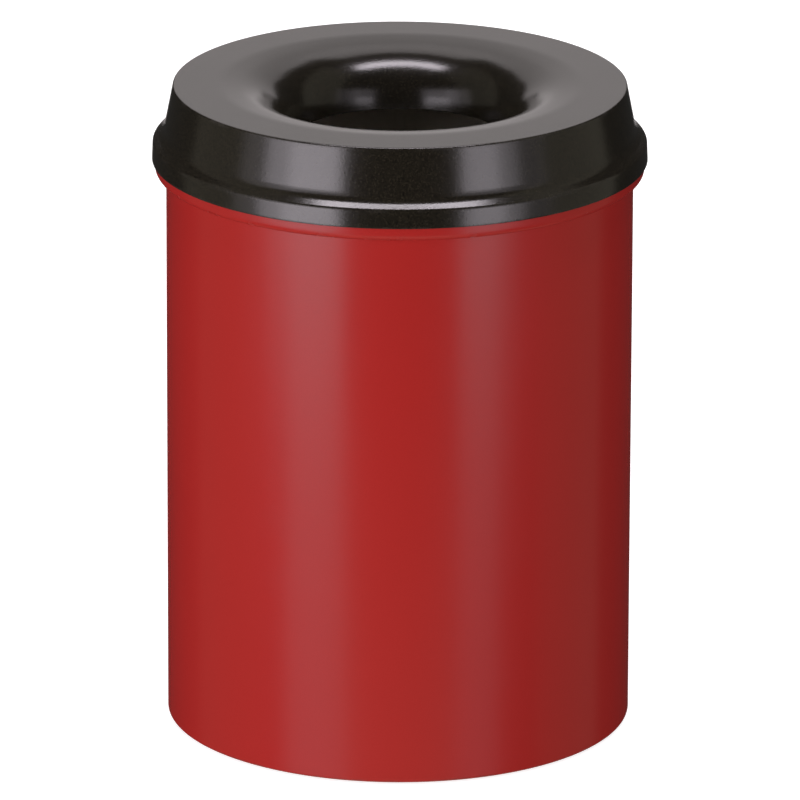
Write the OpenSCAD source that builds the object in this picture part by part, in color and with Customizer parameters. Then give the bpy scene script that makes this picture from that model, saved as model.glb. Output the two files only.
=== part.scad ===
// Self-extinguishing waste bin: a sheet-steel can with a lift-off snuffer lid.
// Millimetres, +Z up, origin on the floor at the centre of the can.
// Every pressing is a sheet section, revolved round the can's axis.

/* [Can] */
// Outer diameter of the can's wall
body_d = 244; // [216:1:300]
// Height of the rolled rim's top above the floor
body_h = 315.2; // [200:0.1:420]
// Thickness of the can's steel sheet
body_sheet = 0.8; // [0.5:0.1:1.2]
// Outer radius of the bends at the foot of the wall and of the base's flange
foot_bend = 1.6; // [1.4:0.1:3]
// Width of the hem folded in under the base's lip
hem_w = 7; // [5:0.5:12]

/* [Rolled rim] */
// Width of the roll, from the can's bore to its outside
roll_w = 6.6; // [5:0.1:9]
// Height of the flattened roll
roll_h = 18; // [12:0.1:22]
// Gap between the roll's free edge and the wall
roll_gap = 0.4; // [0.2:0.1:0.8]
// Flat left on the roll between its two bends
roll_flat = 0.2; // [0.1:0.1:0.6]
// Clearance round the wire inside the roll
wire_play = 0.2; // [0.1:0.05:0.4]

/* [Base] */
// Height of the base plate above the hem it stands on
base_recess = 11; // [8:0.5:18]
// Thickness of the base's steel sheet
base_sheet = 0.8; // [0.5:0.1:1.2]
// Clearance between the base's flange and the can's bore
base_fit = 0.1; // [0.05:0.05:0.3]
// Outer radius of the bend between plate and flange
base_bend = 3; // [2:0.5:4]
// Rise of the base's centre panel
panel_rise = 2.5; // [1:0.5:5]
// Width of the slope round the centre panel
panel_slope = 5; // [3:0.5:10]
// Bend radius at both ends of that slope
panel_bend = 4; // [2:0.5:4]
// Flat left between the centre panel and the feet
panel_margin = 5; // [3:0.5:10]

/* [Feet] */
// Height of the hem above the floor
foot_stand = 1; // [1:0.1:4]
// Largest diameter of a foot
foot_d = 20; // [16:1:26]
// Taper of a foot, in radius, from plate to floor
foot_taper = 1.5; // [0.5:0.1:3]
// Rounding of a foot's lower edge
foot_edge = 1; // [0.5:0.1:2]
// Distance of a foot's centre from the outside of the wall
foot_inset = 27; // [22:1:40]
// Diameter of a foot's stem through the plate
stem_d = 7.6; // [6:0.1:10]
// Clearance round the stem in its hole
stem_play = 0.2; // [0.1:0.05:0.4]
// Overhang of the stem's head past the hole's edge
stem_grip = 1.6; // [1:0.1:2.5]
// Clearance between the stem's head and the plate
head_play = 0.1; // [0.05:0.05:0.3]
// Height of the stem's head
head_h = 3; // [2:0.5:5]

/* [Lid] */
// Thickness of the lid's steel sheet
lid_sheet = 0.8; // [0.5:0.1:1]
// Clearance between the lid and the roll it rests on
seat_gap = 0.3; // [0.2:0.05:0.6]
// Clearance between the lid's band and the roll
band_play = 0.4; // [0.3:0.1:1.2]
// Height of the band that laps the rim
band_h = 9.6; // [8:0.1:14]
// Flare of the band, in radius, towards its lower edge
band_flare = 0.4; // [0:0.1:1]
// Outer radius of the corner above the band
band_corner = 2.5; // [1.2:0.1:3.5]
// Width of the shoulder, from the skirt's foot to the band
shoulder_w = 5.6; // [5:0.1:9]
// Fall of the shoulder towards the band, in degrees
shoulder_slope = 38; // [27:1:44]
// Radius of the hollow between skirt and shoulder
shoulder_hollow = 9; // [4:0.5:11]
// Height of the lid's top above the skirt's foot
skirt_h = 25.85; // [22:0.05:50]
// Inward lean of the skirt, in radius, from its foot to the top
skirt_lean = 5.1; // [3:0.1:8]
// Outer radius of the edge round the top
top_edge = 1.2; // [1.1:0.1:3]
// Width of the flat ring round the top
top_flat = 25.5; // [16:0.5:28]
// Slope of the top towards the throat, in degrees
top_slope = 7; // [4:0.5:12]
// Radius of the blend between flat ring and slope
slope_blend = 60; // [20:5:110]

/* [Throat] */
// Clear diameter at the throat's lower edge
throat_d = 111; // [90:0.5:126]
// Depth of the throat's lower edge below the lid's top
throat_depth = 30.3; // [27:0.1:44]
// Draft of the throat's wall, in degrees
throat_draft = 14; // [9:1:24]
// Radius of the roll from top to throat
throat_roll = 34; // [20:0.5:38]

/* [Hidden] */

$fn = 120;
// Largest step along a rounded corner, in degrees
arc_step = 6;

can_red = "firebrick";
lid_black = "dimgray";
wire_steel = "silver";
rubber_black = "black";

body_r = body_d / 2;
bore_r = body_r - body_sheet;

roll_inner_w = roll_w - 2 * body_sheet;
roll_bend = (roll_inner_w - roll_flat) / 2;
roll_outer_r = bore_r + roll_w;
roll_centre_r = bore_r + roll_w / 2;
roll_bend_r = body_r + roll_inner_w - roll_bend;
roll_bend_z = body_h - body_sheet - roll_bend;
wire_r = roll_inner_w / 2 - wire_play;

hem_top = foot_stand + body_sheet;
plate_top = hem_top + base_recess;
plate_bottom = plate_top - base_sheet;
flange_r = bore_r - base_fit;
foot_circle_r = body_r - foot_inset;
foot_r = foot_d / 2;
panel_r = foot_circle_r - foot_r - panel_margin;

band_r = roll_outer_r + band_play + lid_sheet;
skirt_foot_r = band_r - shoulder_w;
top_r = skirt_foot_r - skirt_lean;
shoulder_fall = shoulder_w * tan(shoulder_slope);
// The shoulder's underside comes down on the roll's outer bend
shoulder_normal = [sin(shoulder_slope), cos(shoulder_slope)];
seat_reach = roll_bend + body_sheet + seat_gap + lid_sheet;
seat_rise = (seat_reach - shoulder_normal.x * (skirt_foot_r - roll_bend_r)) / shoulder_normal.y;
skirt_foot_z = roll_bend_z + seat_rise;
band_top = skirt_foot_z - shoulder_fall;
lid_top = skirt_foot_z + skirt_h;

throat_low_z = lid_top - throat_depth;
slope_start_r = top_r - top_flat;
// Where the throat's wall, carried up, meets the sloping top
throat_low_r = throat_d / 2;
throat_rise = (throat_depth - (slope_start_r - throat_low_r) * tan(top_slope))
    / (1 - tan(throat_draft) * tan(top_slope));
throat_top_r = throat_low_r + throat_rise * tan(throat_draft);
// The roll is held to the straight that its two walls leave it, less one sheet
throat_wall = throat_rise / cos(throat_draft);
slope_run = (slope_start_r - throat_top_r) / cos(top_slope) - slope_blend * tan(top_slope / 2);
roll_half_angle = acos(-sin(throat_draft + top_slope)) / 2;
throat_bend = min(throat_roll, (min(throat_wall, slope_run) - lid_sheet) * tan(roll_half_angle));

// Sheet sections

function unit(v) = v / norm(v);
function spin(v, angle) = [v.x * cos(angle) - v.y * sin(angle), v.x * sin(angle) + v.y * cos(angle)];
function left_normal(a, b) = unit([a.y - b.y, b.x - a.x]);
function turns_left(a, b, c) = cross(b - a, c - b) > 0;

// Points of the arc that rounds corner b of the path a, b, c
function rounded_corner(a, b, c, r) =
    let (
        back = unit(a - b),
        ahead = unit(c - b),
        half = acos(back * ahead) / 2,
        centre = b + unit(back + ahead) * (r / sin(half)),
        start = b + back * (r / tan(half)) - centre,
        sweep = (turns_left(a, b, c) ? 1 : -1) * (180 - 2 * half),
        steps = ceil(abs(sweep) / arc_step)
    )
    [for (i = [0 : steps]) centre + spin(start, sweep * i / steps)];

// A path with its inner corners rounded; the radii belong to those inner corners
function rounded_path(path, radii) = [
    path[0],
    for (i = [1 : len(path) - 2])
        each rounded_corner(path[i - 1], path[i], path[i + 1], radii[i - 1]),
    path[len(path) - 1]
];

// The path moved sideways by t, to its left where t is positive
function parallel_path(path, t) = [
    path[0] + t * left_normal(path[0], path[1]),
    for (i = [1 : len(path) - 2])
        let (n = left_normal(path[i - 1], path[i]), m = left_normal(path[i], path[i + 1]))
        path[i] + t * (n + m) / (1 + n * m),
    path[len(path) - 1] + t * left_normal(path[len(path) - 2], path[len(path) - 1])
];

function parallel_radii(path, radii, t) = [
    for (i = [1 : len(path) - 2])
        radii[i - 1] - (turns_left(path[i - 1], path[i], path[i + 1]) ? t : -t)
];

function reversed(list) = [for (i = [len(list) - 1 : -1 : 0]) list[i]];

// A pressing: the sheet lies between the path and its parallel
module pressing(path, radii, t)
    rotate_extrude()
        polygon(concat(
            rounded_path(path, radii),
            reversed(rounded_path(parallel_path(path, t), parallel_radii(path, radii, t)))
        ));

// The can

module body_shell() {
    // Outside of the wall, from the hem's free edge up and through the roll
    path = [
        [body_r - hem_w, foot_stand],
        [body_r, foot_stand],
        [body_r, body_h - body_sheet],
        [body_r + roll_inner_w, body_h - body_sheet],
        [body_r + roll_inner_w, body_h - roll_h + body_sheet],
        [body_r + roll_gap, body_h - roll_h + body_sheet]
    ];
    radii = [foot_bend, roll_bend, roll_bend, roll_bend];
    color(can_red) pressing(path, radii, body_sheet);
}

module rim_wire()
    color(wire_steel)
        rotate_extrude()
            translate([roll_centre_r, body_h - body_sheet - roll_inner_w / 2])
                circle(r = wire_r);

module at_foot(place)
    rotate(90 * place - 45)
        translate([foot_circle_r, 0])
            children();

module base_disc() {
    // Underside of the lip on the hem, up the flange, over the plate and in to the raised centre
    path = [
        [body_r - hem_w, hem_top],
        [flange_r, hem_top],
        [flange_r, plate_top],
        [panel_r, plate_top],
        [panel_r - panel_slope, plate_top + panel_rise],
        [0, plate_top + panel_rise]
    ];
    radii = [foot_bend, base_bend, panel_bend, panel_bend];
    color(can_red)
        difference() {
            pressing(path, radii, base_sheet);
            for (place = [0 : 3])
                at_foot(place)
                    cylinder(d = stem_d + 2 * stem_play, h = plate_top + base_sheet);
        }
}

// A push-in foot: its shoulder bears on the plate and its head grips from above
module foot(place) {
    head_bottom = plate_top + head_play;
    head_r = stem_d / 2 + stem_play + stem_grip;
    floor_r = foot_r - foot_taper;
    outline = [
        [0, 0],
        [floor_r, 0],
        [foot_r, plate_bottom],
        [stem_d / 2, plate_bottom]
    ];
    color(rubber_black)
        at_foot(place)
            rotate_extrude()
                polygon(concat(
                    [outline[0]],
                    rounded_corner(outline[0], outline[1], outline[2], foot_edge),
                    [outline[2], outline[3]],
                    [[stem_d / 2, head_bottom], [head_r, head_bottom]],
                    [[stem_d / 2, head_bottom + head_h], [0, head_bottom + head_h]]
                ));
}

module foot_front_right() foot(0);
module foot_rear_right() foot(1);
module foot_rear_left() foot(2);
module foot_front_left() foot(3);

// The lid

module snuffer_lid() {
    // Seen side of the sheet, from the throat's lower edge over the top to the band
    path = [
        [throat_low_r, throat_low_z],
        [throat_top_r, throat_low_z + throat_rise],
        [slope_start_r, lid_top],
        [top_r, lid_top],
        [skirt_foot_r, skirt_foot_z],
        [band_r, band_top],
        [band_r + band_flare, band_top - band_h]
    ];
    radii = [throat_bend, slope_blend, top_edge, shoulder_hollow, band_corner];
    color(lid_black) pressing(path, radii, -lid_sheet);
}

body_shell();
rim_wire();
base_disc();
foot_front_right();
foot_rear_right();
foot_rear_left();
foot_front_left();
snuffer_lid();
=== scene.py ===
import math

import bpy
import numpy as np
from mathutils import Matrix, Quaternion, Vector


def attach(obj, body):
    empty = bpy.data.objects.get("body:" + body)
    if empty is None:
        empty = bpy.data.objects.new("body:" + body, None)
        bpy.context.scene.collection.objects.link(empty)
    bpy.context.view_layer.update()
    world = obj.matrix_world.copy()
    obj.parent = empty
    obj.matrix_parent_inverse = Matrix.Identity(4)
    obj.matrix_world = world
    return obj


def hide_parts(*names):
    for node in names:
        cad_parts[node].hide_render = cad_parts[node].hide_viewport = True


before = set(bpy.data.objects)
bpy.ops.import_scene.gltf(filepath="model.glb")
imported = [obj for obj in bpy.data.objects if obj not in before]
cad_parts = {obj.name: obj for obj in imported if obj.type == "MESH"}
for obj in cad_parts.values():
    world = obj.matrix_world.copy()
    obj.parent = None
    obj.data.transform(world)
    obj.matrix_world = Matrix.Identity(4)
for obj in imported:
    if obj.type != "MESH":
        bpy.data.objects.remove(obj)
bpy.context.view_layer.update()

MM = 0.001
scene = bpy.context.scene

# Sections of the spun sheets

SAME_POINT = 0.02 * MM
BEND_TURN = math.radians(12.0)
BEND_CHORD = 0.8 * MM
# A side this many times longer than its neighbour is a straight run, not a bend's chord
LONG_RUN = 2.5
# Two directions whose product is over this make one straight line
STRAIGHT = 1 - 1e-7
CUT_TURN = math.radians(60.0)
CUT_ROUND = 0.2 * MM
CUT_STEPS = 4
# A side takes an added ring if it is this many times longer than the ring's reach
RING_ROOM = 2.5


def ring_points(node):
    """The (radius, height) points that a spun CAD node's rings lie on, and which of them are joined."""
    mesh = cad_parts[node].data
    places = np.empty(len(mesh.vertices) * 3)
    mesh.vertices.foreach_get("co", places)
    places = places.reshape(-1, 3)
    rings = np.stack([np.hypot(places[:, 0], places[:, 1]), places[:, 2]], 1)
    points = []
    for ring in np.unique(np.round(rings, 6), axis=0):
        if all(np.hypot(*(ring - point)) > SAME_POINT for point in points):
            points.append(ring)
    points = np.array(points)
    nearest = np.argmin(((rings[:, None] - points[None]) ** 2).sum(2), 1)
    ends = np.empty(len(mesh.edges) * 2, int)
    mesh.edges.foreach_get("vertices", ends)
    joined = np.sort(nearest[ends.reshape(-1, 2)], 1)
    joined = np.unique(joined[joined[:, 0] != joined[:, 1]], axis=0)
    return points, joined


def section_of(node):
    """The closed outline, anticlockwise round the sheet, that a spun CAD node was turned from."""
    points, joined = ring_points(node)
    neighbours = [[] for _ in points]
    for a, b in joined:
        neighbours[a].append(b)
        neighbours[b].append(a)
    order = [0, neighbours[0][0]]
    while True:
        ahead = [i for i in neighbours[order[-1]] if i != order[-2]][0]
        if ahead == order[0]:
            break
        order.append(ahead)
    outline = points[order]
    after = np.roll(outline, -1, 0)
    area = (outline[:, 0] * after[:, 1] - after[:, 0] * outline[:, 1]).sum()
    return outline if area > 0 else outline[::-1]


def sides_of(outline):
    """Each side's length and direction, the direction behind it, and the turn between them.

    The turn is positive where the outline is convex.
    """
    side = np.roll(outline, -1, 0) - outline
    length = np.hypot(*side.T)
    ahead = side / length[:, None]
    behind = np.roll(ahead, 1, 0)
    turn = np.arctan2(behind[:, 0] * ahead[:, 1] - behind[:, 1] * ahead[:, 0], (ahead * behind).sum(1))
    return length, ahead, behind, turn


def finer_bends(outline):
    """The outline with each bend's chords replaced by the curve that they stand for."""
    length, ahead, behind, turn = sides_of(outline)
    length_behind = np.roll(length, 1)
    smooth = np.abs(turn) < BEND_TURN
    tangent = ahead + behind
    long_ahead = length > LONG_RUN * length_behind
    long_behind = length_behind > LONG_RUN * length
    tangent[long_ahead] = ahead[long_ahead]
    tangent[long_behind] = behind[long_behind]
    tangent /= np.hypot(*tangent.T)[:, None]
    finer = []
    for i, start in enumerate(outline):
        j = (i + 1) % len(outline)
        finer.append(start)
        leave = tangent[i] if smooth[i] else ahead[i]
        arrive = tangent[j] if smooth[j] else ahead[i]
        if leave @ arrive > STRAIGHT:
            continue
        steps = math.ceil(length[i] / BEND_CHORD)
        for step in range(1, steps):
            t = step / steps
            finer.append(
                start * (2 * t ** 3 - 3 * t ** 2 + 1)
                + outline[j] * (3 * t ** 2 - 2 * t ** 3)
                + leave * length[i] * (t ** 3 - 2 * t ** 2 + t)
                + arrive * length[i] * (t ** 3 - t ** 2)
            )
    return np.array(finer)


def rounded_cuts(outline):
    """The outline with the square corners of the sheet's cut edges deburred."""
    length, ahead, behind, turn = sides_of(outline)
    rounded = []
    for i, corner in enumerate(outline):
        if abs(turn[i]) < CUT_TURN:
            rounded.append(corner)
            continue
        back_off = CUT_ROUND * math.tan(abs(turn[i]) / 2)
        start = corner - behind[i] * back_off
        end = corner + ahead[i] * back_off
        for step in range(CUT_STEPS + 1):
            t = step / CUT_STEPS
            rounded.append(start * (1 - t) ** 2 + corner * 2 * t * (1 - t) + end * t ** 2)
    return np.array(rounded)


def ringed(outline, reaches):
    """The outline with added rings at the given reaches from both ends of each side that is long enough."""
    length, ahead, _, _ = sides_of(outline)
    added = []
    for i, start in enumerate(outline):
        added.append(start)
        fitting = [reach for reach in reaches if RING_ROOM * reach < length[i]]
        for reach in fitting + [length[i] - reach for reach in reversed(fitting)]:
            added.append(start + ahead[i] * reach)
    return np.array(added)


# Spun meshes

SPIN_STEPS = 320
SHARP_EDGE = math.radians(35.0)
SHARP_BEND = 1 / (1.5 * MM)
SOFT_BEND = 1 / (7.0 * MM)
CUT_BEND = 1 / (0.75 * MM)
EDGE_RINGS = (1.2 * MM, 4.0 * MM)


def even_turns():
    return np.arange(SPIN_STEPS) * 2 * math.pi / SPIN_STEPS


def edge_of(outline, cuts_reached):
    """How tightly each ring is bent outwards, from 0 on a flat to 1 on an edge.

    Cut edges count only if hands reach them.
    """
    length, _, _, turn = sides_of(outline)
    bend = turn / np.minimum(length, np.roll(length, 1))
    edge = np.clip((bend - SOFT_BEND) / (SHARP_BEND - SOFT_BEND), 0, 1)
    return edge if cuts_reached else np.where(bend > CUT_BEND, 0, edge)


def turned(outline, turns):
    """The outline's points at each turn round the can's axis."""
    places = np.empty((len(turns), len(outline), 3))
    places[:, :, 0] = np.cos(turns)[:, None] * outline[None, :, 0]
    places[:, :, 1] = np.sin(turns)[:, None] * outline[None, :, 0]
    places[:, :, 2] = outline[None, :, 1]
    return places


def spun_piece(name, places, edge, body, node):
    """A smooth sheet of quads through turned places, in place of a CAD node."""
    turns, rings = places.shape[:2]
    here = np.arange(turns * rings).reshape(turns, rings)
    beside = np.roll(here, -1, 0)
    faces = np.stack([here, beside, np.roll(beside, -1, 1), np.roll(here, -1, 1)], -1).reshape(-1, 4)
    mesh = bpy.data.meshes.new(name)
    mesh.from_pydata(places.reshape(-1, 3).tolist(), [], faces.tolist())
    mesh.shade_smooth()
    mesh.set_sharp_from_angle(angle=SHARP_EDGE)
    rubbed = mesh.attributes.new("edge", "FLOAT", "POINT")
    rubbed.data.foreach_set("value", np.tile(edge, turns))
    piece = bpy.data.objects.new(name, mesh)
    scene.collection.objects.link(piece)
    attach(piece, body)
    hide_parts(node)
    return piece


# Lid

lid_section = ringed(rounded_cuts(finer_bends(section_of("snuffer_lid"))), EDGE_RINGS)
lid_places = turned(lid_section, even_turns())
lid_shell = spun_piece("lid_shell", lid_places, edge_of(lid_section, True), "lid", "snuffer_lid")

# Can, with the weld down its back

SEAM_TURN = math.pi / 2
SEAM_HALF = 3.0 * MM
SEAM_EDGE = 1.0 * MM
SEAM_RISE = 0.3 * MM
SEAM_STEP = 0.25 * MM
# Even turns nearer to the weld than this many times its half width are left out
SEAM_CLEAR = 1.5
SEAM_FADE = 8.0 * MM
SEAM_RINGS = (1.2 * MM, 5.0 * MM, 13.0 * MM, 20.0 * MM, 28.0 * MM)
OUTSIDE_FADE = 5.0 * MM
INSIDE_FADE = 20.0 * MM


def smooth_step(values):
    t = np.clip(values, 0, 1)
    return t * t * (3 - 2 * t)


def wall_radii(outline):
    """The inner and the outer radius of the can's straight wall."""
    length, _, _, _ = sides_of(outline)
    upright = outline[length > length.max() / 2, 0]
    return upright.min(), upright.max()


def seam_turns(wall_radius):
    """Even turns, with close ones across the weld."""
    steps = math.ceil(SEAM_HALF / SEAM_STEP)
    across = np.arange(-steps, steps + 1) * SEAM_STEP / wall_radius
    far = np.abs(even_turns() - SEAM_TURN) > across[-1] * SEAM_CLEAR
    return np.sort(np.concatenate([even_turns()[far], SEAM_TURN + across]))


def raise_seam(places, outline, turns):
    """Lifts both faces of the wall into a low flat weld, which fades out below the rim and above the base."""
    length, _, _, _ = sides_of(outline)
    wall_radius = outline[np.argmax(length), 0]
    bottom, top = np.sort(outline[np.isclose(outline[:, 0], wall_radius, atol=SAME_POINT), 1])[[0, -1]]
    across = np.abs(turns - SEAM_TURN) * wall_radius
    rise = SEAM_RISE * smooth_step((SEAM_HALF - across) / SEAM_EDGE)
    inner, outer = wall_radii(outline)
    for radius, side, fade in ((inner, -1, INSIDE_FADE), (outer, 1, OUTSIDE_FADE)):
        on_wall = np.isclose(outline[:, 0], radius, atol=SAME_POINT)
        along = np.minimum(outline[:, 1] - bottom - fade, top - OUTSIDE_FADE - outline[:, 1]) / SEAM_FADE
        lift = side * rise[:, None] * np.where(on_wall, smooth_step(along), 0)[None]
        places[:, :, 0] += np.cos(turns)[:, None] * lift
        places[:, :, 1] += np.sin(turns)[:, None] * lift


can_section = ringed(rounded_cuts(finer_bends(section_of("body_shell"))), SEAM_RINGS)
can_turns = seam_turns(can_section[np.argmax(sides_of(can_section)[0]), 0])
can_places = turned(can_section, can_turns)
raise_seam(can_places, can_section, can_turns)
can_wall = spun_piece("can_wall", can_places, edge_of(can_section, False), "can", "body_shell")

# Finishes


def shader_group(name, inputs, outputs):
    """An empty node group with named sockets, and the nodes inside it that hold them."""
    group = bpy.data.node_groups.new(name, "ShaderNodeTree")
    for label, kind in inputs:
        group.interface.new_socket(label, in_out="INPUT", socket_type=kind)
    for label, kind in outputs:
        group.interface.new_socket(label, in_out="OUTPUT", socket_type=kind)
    return group, group.nodes.new("NodeGroupInput"), group.nodes.new("NodeGroupOutput")


COLOUR = "NodeSocketColor"
NUMBER = "NodeSocketFloat"
# A mix node's sockets share their names, so they are told apart by their places
MIX_SHARE = 0
MIX_NUMBERS = (2, 3)
MIX_NUMBER_OUT = 0
MIX_COLOURS = (6, 7)
MIX_COLOUR_OUT = 2


class Wiring:
    """Adds nodes to one tree; a value given to a socket is a number, a colour or another node's output."""

    def __init__(self, tree):
        self.tree = tree

    def put(self, socket, value):
        if isinstance(value, bpy.types.NodeSocket):
            self.tree.links.new(value, socket)
        else:
            socket.default_value = value

    def node(self, kind, sockets, **settings):
        node = self.tree.nodes.new(kind)
        for name, value in settings.items():
            setattr(node, name, value)
        for key, value in sockets.items():
            self.put(node.inputs[key], value)
        return node

    def math(self, operation, *values):
        node = self.tree.nodes.new("ShaderNodeMath")
        node.operation = operation
        for socket, value in zip(node.inputs, values):
            self.put(socket, value)
        return node.outputs["Value"]

    def noise(self, vector, scale, detail):
        sockets = {"Vector": vector, "Scale": scale, "Detail": detail}
        return self.node("ShaderNodeTexNoise", sockets).outputs["Fac"]

    def ramp(self, value, low, high):
        """Value taken smoothly from 0 at low to 1 at high."""
        sockets = {"Value": value, "From Min": low, "From Max": high}
        return self.node("ShaderNodeMapRange", sockets, interpolation_type="SMOOTHSTEP").outputs["Result"]

    def mix(self, kind, places, share, first, second):
        """A mix node of one kind, with the second value mixed over the first at the given socket places."""
        node = self.node("ShaderNodeMix", {}, data_type=kind)
        self.put(node.inputs[MIX_SHARE], share)
        for place, value in zip(places, (first, second)):
            self.put(node.inputs[place], value)
        return node

    def blend(self, share, first, second):
        """A share of the second colour over the first."""
        return self.mix("RGBA", MIX_COLOURS, share, first, second).outputs[MIX_COLOUR_OUT]

    def between(self, share, first, second):
        """A share of the second number over the first."""
        return self.mix("FLOAT", MIX_NUMBERS, share, first, second).outputs[MIX_NUMBER_OUT]

    def place(self):
        return self.tree.nodes.new("ShaderNodeTexCoord").outputs["Object"]

    def round_place(self):
        """The turn round the can's axis, the radius and the height."""
        spot = self.node("ShaderNodeSeparateXYZ", {"Vector": self.place()})
        x, y, z = (spot.outputs[axis] for axis in "XYZ")
        radius = self.math("SQRT", self.math("ADD", self.math("MULTIPLY", x, x), self.math("MULTIPLY", y, y)))
        return self.math("ARCTAN2", y, x), radius, z


NOISE_MIDDLE = 0.5
CLOUDS_PER_METRE = 28.0
GLOSS_PER_METRE = 60.0
DARKEST_FLECK = 0.2
RUBS_PER_METRE = 90.0
RUB_PATCHES = (0.42, 0.66)
DUST_PER_METRE = 45.0
DUST_PATCHES = (0.35, 0.75)
DUST_FACING = (0.55, 1.0)
DUST_ROUGHNESS = 0.9


def powder_coat_group():
    """Baked powder paint: a colour with clouds and flecks, a gloss that varies, and the skin's height."""
    group, given, made = shader_group(
        "powder_coat",
        [("Colour", COLOUR), ("Clouding", NUMBER), ("Flecks", NUMBER),
         ("Roughness", NUMBER), ("Gloss Spread", NUMBER),
         ("Peel Size mm", NUMBER), ("Grain Size mm", NUMBER), ("Grain Share", NUMBER)],
        [("Colour", COLOUR), ("Roughness", NUMBER), ("Height", NUMBER)],
    )
    wire = Wiring(group)
    place = wire.place()
    per_metre = 1 / MM
    peel = wire.noise(place, wire.math("DIVIDE", per_metre, given.outputs["Peel Size mm"]), detail=1.0)
    grain = wire.noise(place, wire.math("DIVIDE", per_metre, given.outputs["Grain Size mm"]), detail=2.0)
    cloud = wire.math("SUBTRACT", wire.noise(place, CLOUDS_PER_METRE, detail=3.0), NOISE_MIDDLE)
    shade = wire.math("MULTIPLY_ADD", cloud, given.outputs["Clouding"], 1.0)
    fleck = wire.math("SUBTRACT", grain, NOISE_MIDDLE)
    flecked = wire.math("MULTIPLY_ADD", fleck, given.outputs["Flecks"], shade)
    value = wire.math("MAXIMUM", flecked, DARKEST_FLECK)
    tone = wire.node("ShaderNodeHueSaturation", {"Value": value, "Color": given.outputs["Colour"]})
    wire.put(made.inputs["Colour"], tone.outputs["Color"])
    gloss = wire.math("SUBTRACT", wire.noise(place, GLOSS_PER_METRE, detail=4.0), NOISE_MIDDLE)
    varied = wire.math("MULTIPLY_ADD", gloss, given.outputs["Gloss Spread"], given.outputs["Roughness"])
    wire.put(made.inputs["Roughness"], varied)
    wire.put(made.inputs["Height"], wire.between(given.outputs["Grain Share"], peel, grain))
    return group


def edge_rub_group():
    """Paint rubbed thin along the tight bends and cut edges that hands and floors reach."""
    group, given, made = shader_group(
        "edge_rub",
        [("Colour", COLOUR), ("Roughness", NUMBER), ("Rubbed Colour", COLOUR), ("Rubbed Roughness", NUMBER),
         ("Wear", NUMBER)],
        [("Colour", COLOUR), ("Roughness", NUMBER)],
    )
    wire = Wiring(group)
    edge = wire.node("ShaderNodeAttribute", {}, attribute_name="edge").outputs["Fac"]
    patches = wire.ramp(wire.noise(wire.place(), RUBS_PER_METRE, detail=5.0), *RUB_PATCHES)
    rubbed = wire.math("MULTIPLY", wire.math("MULTIPLY", edge, patches), given.outputs["Wear"])
    thinned = wire.blend(rubbed, given.outputs["Colour"], given.outputs["Rubbed Colour"])
    wire.put(made.inputs["Colour"], thinned)
    matt = wire.between(rubbed, given.outputs["Roughness"], given.outputs["Rubbed Roughness"])
    wire.put(made.inputs["Roughness"], matt)
    return group


def settled_dust_group():
    """A thin film of dust on what faces up."""
    group, given, made = shader_group(
        "settled_dust",
        [("Colour", COLOUR), ("Roughness", NUMBER), ("Dust Colour", COLOUR), ("Amount", NUMBER)],
        [("Colour", COLOUR), ("Roughness", NUMBER)],
    )
    wire = Wiring(group)
    facing = wire.node("ShaderNodeNewGeometry", {}).outputs["Normal"]
    upward = wire.ramp(wire.node("ShaderNodeSeparateXYZ", {"Vector": facing}).outputs["Z"], *DUST_FACING)
    patches = wire.ramp(wire.noise(wire.place(), DUST_PER_METRE, detail=6.0), *DUST_PATCHES)
    film = wire.math("MULTIPLY", wire.math("MULTIPLY", upward, patches), given.outputs["Amount"])
    wire.put(made.inputs["Colour"], wire.blend(film, given.outputs["Colour"], given.outputs["Dust Colour"]))
    wire.put(made.inputs["Roughness"], wire.between(film, given.outputs["Roughness"], DUST_ROUGHNESS))
    return group


POWDER_COAT = powder_coat_group()
EDGE_RUB = edge_rub_group()
SETTLED_DUST = settled_dust_group()
WHITE = (1, 1, 1, 1)
DUST_GREY = (0.32, 0.3, 0.27, 1)
PRIMER_GREY = (0.52, 0.48, 0.42, 1)
PRIMER_ROUGHNESS = 0.6
PRIMED_TILT = 0.1
BORE_RADIUS, WALL_RADIUS = wall_radii(can_section)
WALL_MIDDLE = (BORE_RADIUS + WALL_RADIUS) / 2
HEM_MIDDLE = can_section[:, 1].min() + (WALL_RADIUS - BORE_RADIUS) / 2


def new_finish(name):
    material = bpy.data.materials.new(name)
    material.use_nodes = True
    return material, Wiring(material.node_tree), material.node_tree.nodes["Principled BSDF"]


def powder_paint(name, coat, rub, dust, bump, specular, specular_tint):
    """Powder paint with its own values for the coat, the rubbed edges, the dust and the skin's bump."""
    material, wire, shader = new_finish(name)
    skin = wire.node("ShaderNodeGroup", {}, node_tree=POWDER_COAT)
    rubbed = wire.node("ShaderNodeGroup", {}, node_tree=EDGE_RUB)
    dusty = wire.node("ShaderNodeGroup", {}, node_tree=SETTLED_DUST)
    for node, values in ((skin, coat), (rubbed, rub), (dusty, dust)):
        for key, value in values.items():
            wire.put(node.inputs[key], value)
    for first, second in ((skin, rubbed), (rubbed, dusty)):
        wire.put(second.inputs["Colour"], first.outputs["Colour"])
        wire.put(second.inputs["Roughness"], first.outputs["Roughness"])
    relief = {"Height": skin.outputs["Height"], "Distance": bump, "Strength": 1.0}
    bumped = wire.node("ShaderNodeBump", relief)
    wire.put(shader.inputs["Base Color"], dusty.outputs["Colour"])
    wire.put(shader.inputs["Roughness"], dusty.outputs["Roughness"])
    wire.put(shader.inputs["Normal"], bumped.outputs["Normal"])
    shader.inputs["Specular IOR Level"].default_value = specular
    shader.inputs["Specular Tint"].default_value = specular_tint
    return material


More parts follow.
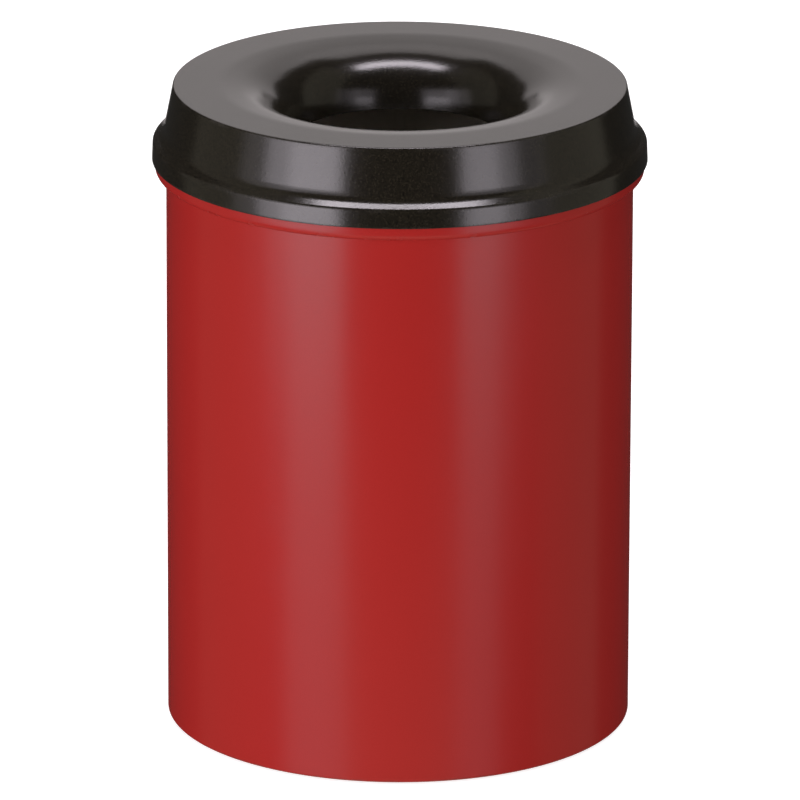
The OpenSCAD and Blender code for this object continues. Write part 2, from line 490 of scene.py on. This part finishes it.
def primed(material, bare):
    """Grey primer in place of the colour, where the bare mask is 1."""
    wire = Wiring(material.node_tree)
    shader = material.node_tree.nodes["Principled BSDF"]
    colour, roughness = shader.inputs["Base Color"], shader.inputs["Roughness"]
    wire.put(colour, wire.blend(bare, colour.links[0].from_socket, PRIMER_GREY))
    wire.put(roughness, wire.between(bare, roughness.links[0].from_socket, PRIMER_ROUGHNESS))


def prime_wall(material):
    """The can's wall is only primed on its inner face, above the hem."""
    wire = Wiring(material.node_tree)
    _, radius, height = wire.round_place()
    inside = wire.math("LESS_THAN", radius, WALL_MIDDLE)
    above_hem = wire.math("GREATER_THAN", height, HEM_MIDDLE)
    primed(material, wire.math("MULTIPLY", inside, above_hem))


def prime_base(material):
    """The base is only primed on its upper face."""
    wire = Wiring(material.node_tree)
    facing = wire.node("ShaderNodeNewGeometry", {}).outputs["Normal"]
    upward = wire.node("ShaderNodeSeparateXYZ", {"Vector": facing}).outputs["Z"]
    primed(material, wire.math("GREATER_THAN", upward, PRIMED_TILT))


WIRE_DULL = (0.42, 0.42, 0.41, 1)
WIRE_BRIGHT = (0.62, 0.61, 0.6, 1)
WIRE_STAIN = (0.3, 0.27, 0.24, 1)
WIRE_ROUGHNESS = (0.24, 0.42)
WIRE_STRETCH = 0.01
LINES_PER_METRE = 4000.0
STAINS_PER_METRE = 70.0
STAIN_PATCHES = (0.45, 0.8)


def drawn_steel():
    """Drawn wire: bright metal with fine lines along its length."""
    material, wire, shader = new_finish("drawn_steel_wire")
    turn, radius, height = wire.round_place()
    slow_turn = wire.math("MULTIPLY", turn, WIRE_STRETCH)
    along = wire.node("ShaderNodeCombineXYZ", {"X": radius, "Y": height, "Z": slow_turn}).outputs["Vector"]
    lines = wire.noise(along, LINES_PER_METRE, detail=3.0)
    stain = wire.ramp(wire.noise(wire.place(), STAINS_PER_METRE, detail=5.0), *STAIN_PATCHES)
    bright = wire.blend(lines, WIRE_DULL, WIRE_BRIGHT)
    wire.put(shader.inputs["Base Color"], wire.blend(stain, bright, WIRE_STAIN))
    wire.put(shader.inputs["Roughness"], wire.between(lines, *WIRE_ROUGHNESS))
    shader.inputs["Metallic"].default_value = 1.0
    return material


RUBBER_BLACK = (0.016, 0.016, 0.016, 1)
RUBBER_BLOOM = (0.034, 0.033, 0.032, 1)
RUBBER_ROUGHNESS = (0.62, 0.82)
RUBBER_DUST = 0.3
PITS_PER_METRE = 2200.0
PIT_DEPTH = 0.04 * MM
BLOOM_PER_METRE = 180.0


def moulded_rubber():
    """Matt black rubber with a pitted skin and dust in it."""
    material, wire, shader = new_finish("moulded_rubber")
    skin = wire.noise(wire.place(), PITS_PER_METRE, detail=4.0)
    bloom = wire.noise(wire.place(), BLOOM_PER_METRE, detail=5.0)
    dusty = wire.node("ShaderNodeGroup", {}, node_tree=SETTLED_DUST)
    wire.put(dusty.inputs["Colour"], wire.blend(bloom, RUBBER_BLACK, RUBBER_BLOOM))
    wire.put(dusty.inputs["Roughness"], wire.between(skin, *RUBBER_ROUGHNESS))
    wire.put(dusty.inputs["Dust Colour"], DUST_GREY)
    wire.put(dusty.inputs["Amount"], RUBBER_DUST)
    bumped = wire.node("ShaderNodeBump", {"Height": skin, "Distance": PIT_DEPTH, "Strength": 1.0})
    wire.put(shader.inputs["Base Color"], dusty.outputs["Colour"])
    wire.put(shader.inputs["Roughness"], dusty.outputs["Roughness"])
    wire.put(shader.inputs["Normal"], bumped.outputs["Normal"])
    return material


def red_paint(name):
    """The satin red powder coat of the can and its base."""
    return powder_paint(
        name,
        coat={"Colour": (0.38, 0.0195, 0.0165, 1), "Clouding": 0.03, "Flecks": 0.15,
              "Roughness": 0.25, "Gloss Spread": 0.06,
              "Peel Size mm": 2.4, "Grain Size mm": 0.7, "Grain Share": 0.25},
        rub={"Rubbed Colour": (0.2, 0.03, 0.02, 1), "Rubbed Roughness": 0.5, "Wear": 0.35},
        dust={"Dust Colour": DUST_GREY, "Amount": 0.05},
        bump=0.012 * MM,
        specular=0.25,
        specular_tint=(0.2, 1, 1, 1),
    )


can_paint = red_paint("can_red_powder_coat")
prime_wall(can_paint)
base_paint = red_paint("base_red_powder_coat")
prime_base(base_paint)
lid_paint = powder_paint(
    "lid_black_powder_coat",
    coat={"Colour": (0.0115, 0.0098, 0.0062, 1), "Clouding": 0.08, "Flecks": 3.5,
          "Roughness": 0.175, "Gloss Spread": 0.05,
          "Peel Size mm": 2.0, "Grain Size mm": 0.8, "Grain Share": 0.7},
    rub={"Rubbed Colour": (0.045, 0.042, 0.038, 1), "Rubbed Roughness": 0.34, "Wear": 0.3},
    dust={"Dust Colour": DUST_GREY, "Amount": 0.012},
    bump=0.05 * MM,
    specular=0.5,
    specular_tint=WHITE,
)
wire_steel = drawn_steel()
foot_rubber = moulded_rubber()

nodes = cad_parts
finish_of = {
    can_wall: can_paint,
    nodes["base_disc"]: base_paint,
    lid_shell: lid_paint,
    nodes["rim_wire"]: wire_steel,
}
for node in ("foot_front_right", "foot_rear_right", "foot_rear_left", "foot_front_left"):
    finish_of[nodes[node]] = foot_rubber
for piece, finish in finish_of.items():
    piece.data.materials.clear()
    piece.data.materials.append(finish)

# Studio

AIM = Vector((0.0005, 0.0, 0.1708))
LID_MIDDLE = Vector((0.0, 0.0, 0.33))
LAMP_REACH = 1.9
SOFTBOX_TINT = (1.0, 0.925, 1.0)
BACKDROP_TINT = (1.0, 0.93, 0.935)
ROOM_TINT = (1.0, 0.93, 0.75)


def bearing(azimuth, elevation):
    """A direction from the can, with azimuth 0 towards the camera and 90 to its right, in degrees."""
    a, e = math.radians(azimuth), math.radians(elevation)
    return Vector((math.sin(a) * math.cos(e), -math.cos(a) * math.cos(e), math.sin(e)))


def softbox(name, azimuth, elevation, across, high, radiance, tint=SOFTBOX_TINT):
    """An area light that shows the given angles across and high, in degrees, from the middle of the lid."""
    light = bpy.data.lights.new(name, "AREA")
    light.shape = "RECTANGLE"
    light.size = 2 * LAMP_REACH * math.tan(math.radians(across) / 2)
    light.size_y = 2 * LAMP_REACH * math.tan(math.radians(high) / 2)
    light.energy = radiance * math.pi * light.size * light.size_y
    light.color = tint
    lamp = bpy.data.objects.new(name, light)
    lamp.location = LID_MIDDLE + bearing(azimuth, elevation) * LAMP_REACH
    lamp.rotation_euler = bearing(azimuth, elevation).to_track_quat("Z", "Y").to_euler()
    lamp.visible_camera = False
    scene.collection.objects.link(lamp)
    return lamp


def stacked_softbox(name, azimuth, across, radiance, steps):
    """Softboxes above one another.

    Each step is its lower and upper elevation and its share of the radiance.
    """
    for low, high, share in steps:
        softbox(f"{name}_{low}", azimuth, (low + high) / 2, across, high - low, radiance * share)


def backdrop(width_share, steps):
    """A flat sheet behind the can, its width a share of its distance, that brightens upwards.

    Each step is its lower and upper elevation and its radiance.
    """
    for low, high, radiance in steps:
        middle = (low + high) / 2
        across = 2 * math.degrees(math.atan(width_share / 2 * math.cos(math.radians(middle))))
        softbox(f"backdrop_{low}", 180, middle, across, high - low, radiance, BACKDROP_TINT)


CORE_STEPS = ((-45, -18, 0.2), (-18, 8, 0.97), (8, 20, 0.54), (20, 34, 0.21))
EDGE_STEPS = ((-18, 8, 0.97), (8, 34, 0.38))
SPILL_STEPS = ((-18, 34, 0.6),)
LOW_BACKDROP = ((9, 31, 0.72),)
HIGH_BACKDROP = ((31, 38, 0.85), (38, 44, 1.04), (44, 52, 1.4), (52, 70, 1.75))

stacked_softbox("left_core", azimuth=-40.5, across=27, radiance=6.1, steps=CORE_STEPS)
stacked_softbox("left_edge", azimuth=-60, across=12, radiance=3.7, steps=EDGE_STEPS)
stacked_softbox("left_spill", azimuth=-73, across=14, radiance=1.0, steps=SPILL_STEPS)
stacked_softbox("right_core", azimuth=38.5, across=19, radiance=4.1, steps=CORE_STEPS)
stacked_softbox("right_edge", azimuth=52.5, across=9, radiance=2.0, steps=EDGE_STEPS)
stacked_softbox("right_spill", azimuth=64.5, across=15, radiance=0.65, steps=SPILL_STEPS)
softbox("top_softbox", azimuth=0, elevation=84.8, across=44, high=11, radiance=13.8)
backdrop(width_share=0.98, steps=LOW_BACKDROP)
backdrop(width_share=1.25, steps=HIGH_BACKDROP)
softbox("backdrop_foot", azimuth=180, elevation=-5.5, across=22, high=29, radiance=0.78, tint=BACKDROP_TINT)
softbox("left_wall", azimuth=-93, elevation=8, across=46, high=105, radiance=0.19, tint=ROOM_TINT)
softbox("right_wall", azimuth=93, elevation=8, across=46, high=105, radiance=0.28, tint=ROOM_TINT)
softbox("low_front", azimuth=0, elevation=-42, across=50, high=34, radiance=0.58, tint=ROOM_TINT)
softbox("floor_bounce", azimuth=0, elevation=-84, across=70, high=70, radiance=0.4, tint=ROOM_TINT)
rear_fill = softbox("rear_fill", azimuth=180, elevation=20, across=50, high=40, radiance=4.2)
rear_fill.visible_glossy = False

# Floor, white from above and clear from below

FLOOR_HALF = 6.0
FLOOR_GREY = (0.5, 0.5, 0.5, 1)
FLOOR_GLOW = 0.85

floor_mesh = bpy.data.meshes.new("floor")
floor_corners = [(x * FLOOR_HALF, y * FLOOR_HALF, 0.0) for x, y in ((-1, -1), (1, -1), (1, 1), (-1, 1))]
floor_mesh.from_pydata(floor_corners, [], [(0, 1, 2, 3)])
floor = bpy.data.objects.new("floor", floor_mesh)
scene.collection.objects.link(floor)
floor.visible_glossy = False
floor.visible_diffuse = False
floor.visible_shadow = False
floor_paint, floor_wire, floor_shader = new_finish("pale_floor")
floor_shader.inputs["Base Color"].default_value = FLOOR_GREY
floor_shader.inputs["Roughness"].default_value = 1.0
floor_shader.inputs["Specular IOR Level"].default_value = 0.0
floor_shader.inputs["Emission Color"].default_value = WHITE
floor_shader.inputs["Emission Strength"].default_value = FLOOR_GLOW
underside = floor_wire.node("ShaderNodeNewGeometry", {}).outputs["Backfacing"]
see_through = floor_wire.node("ShaderNodeBsdfTransparent", {}).outputs["BSDF"]
one_way = floor_wire.node("ShaderNodeMixShader", {"Fac": underside})
floor_wire.put(one_way.inputs[1], floor_shader.outputs["BSDF"])
floor_wire.put(one_way.inputs[2], see_through)
floor_wire.put(floor_paint.node_tree.nodes["Material Output"].inputs["Surface"], one_way.outputs["Shader"])
floor_mesh.materials.append(floor_paint)

# Room, dim to the can and white to the camera

ROOM_GLOW = 0.03

world = bpy.data.worlds.new("studio")
scene.world = world
world.use_nodes = True
room_wire = Wiring(world.node_tree)
room = world.node_tree.nodes["Background"]
room.inputs["Color"].default_value = WHITE
room.inputs["Strength"].default_value = ROOM_GLOW
paper = room_wire.node("ShaderNodeBackground", {"Color": WHITE, "Strength": 1.0})
seen = room_wire.node("ShaderNodeLightPath", {}).outputs["Is Camera Ray"]
either = room_wire.node("ShaderNodeMixShader", {"Fac": seen})
room_wire.put(either.inputs[1], room.outputs["Background"])
room_wire.put(either.inputs[2], paper.outputs["Background"])
room_wire.put(world.node_tree.nodes["World Output"].inputs["Surface"], either.outputs["Shader"])
scene.view_settings.view_transform = "Standard"

# Camera

CAMERA_DISTANCE = 5.4
CAMERA_PITCH = 18.02
CAMERA_LENS = 462.06
CAMERA_ROLL = 0.19
SENSOR_WIDTH = 36.0
CLIP_END = 60.0

camera_data = bpy.data.cameras.new("camera")
camera_data.lens = CAMERA_LENS
camera_data.sensor_width = SENSOR_WIDTH
camera_data.clip_end = CLIP_END
camera = bpy.data.objects.new("camera", camera_data)
back = bearing(0, CAMERA_PITCH)
camera.location = AIM + back * CAMERA_DISTANCE
level = (-back).to_track_quat("-Z", "Y")
camera.rotation_euler = (level @ Quaternion((0, 0, 1), math.radians(CAMERA_ROLL))).to_euler()
scene.collection.objects.link(camera)
scene.camera = camera
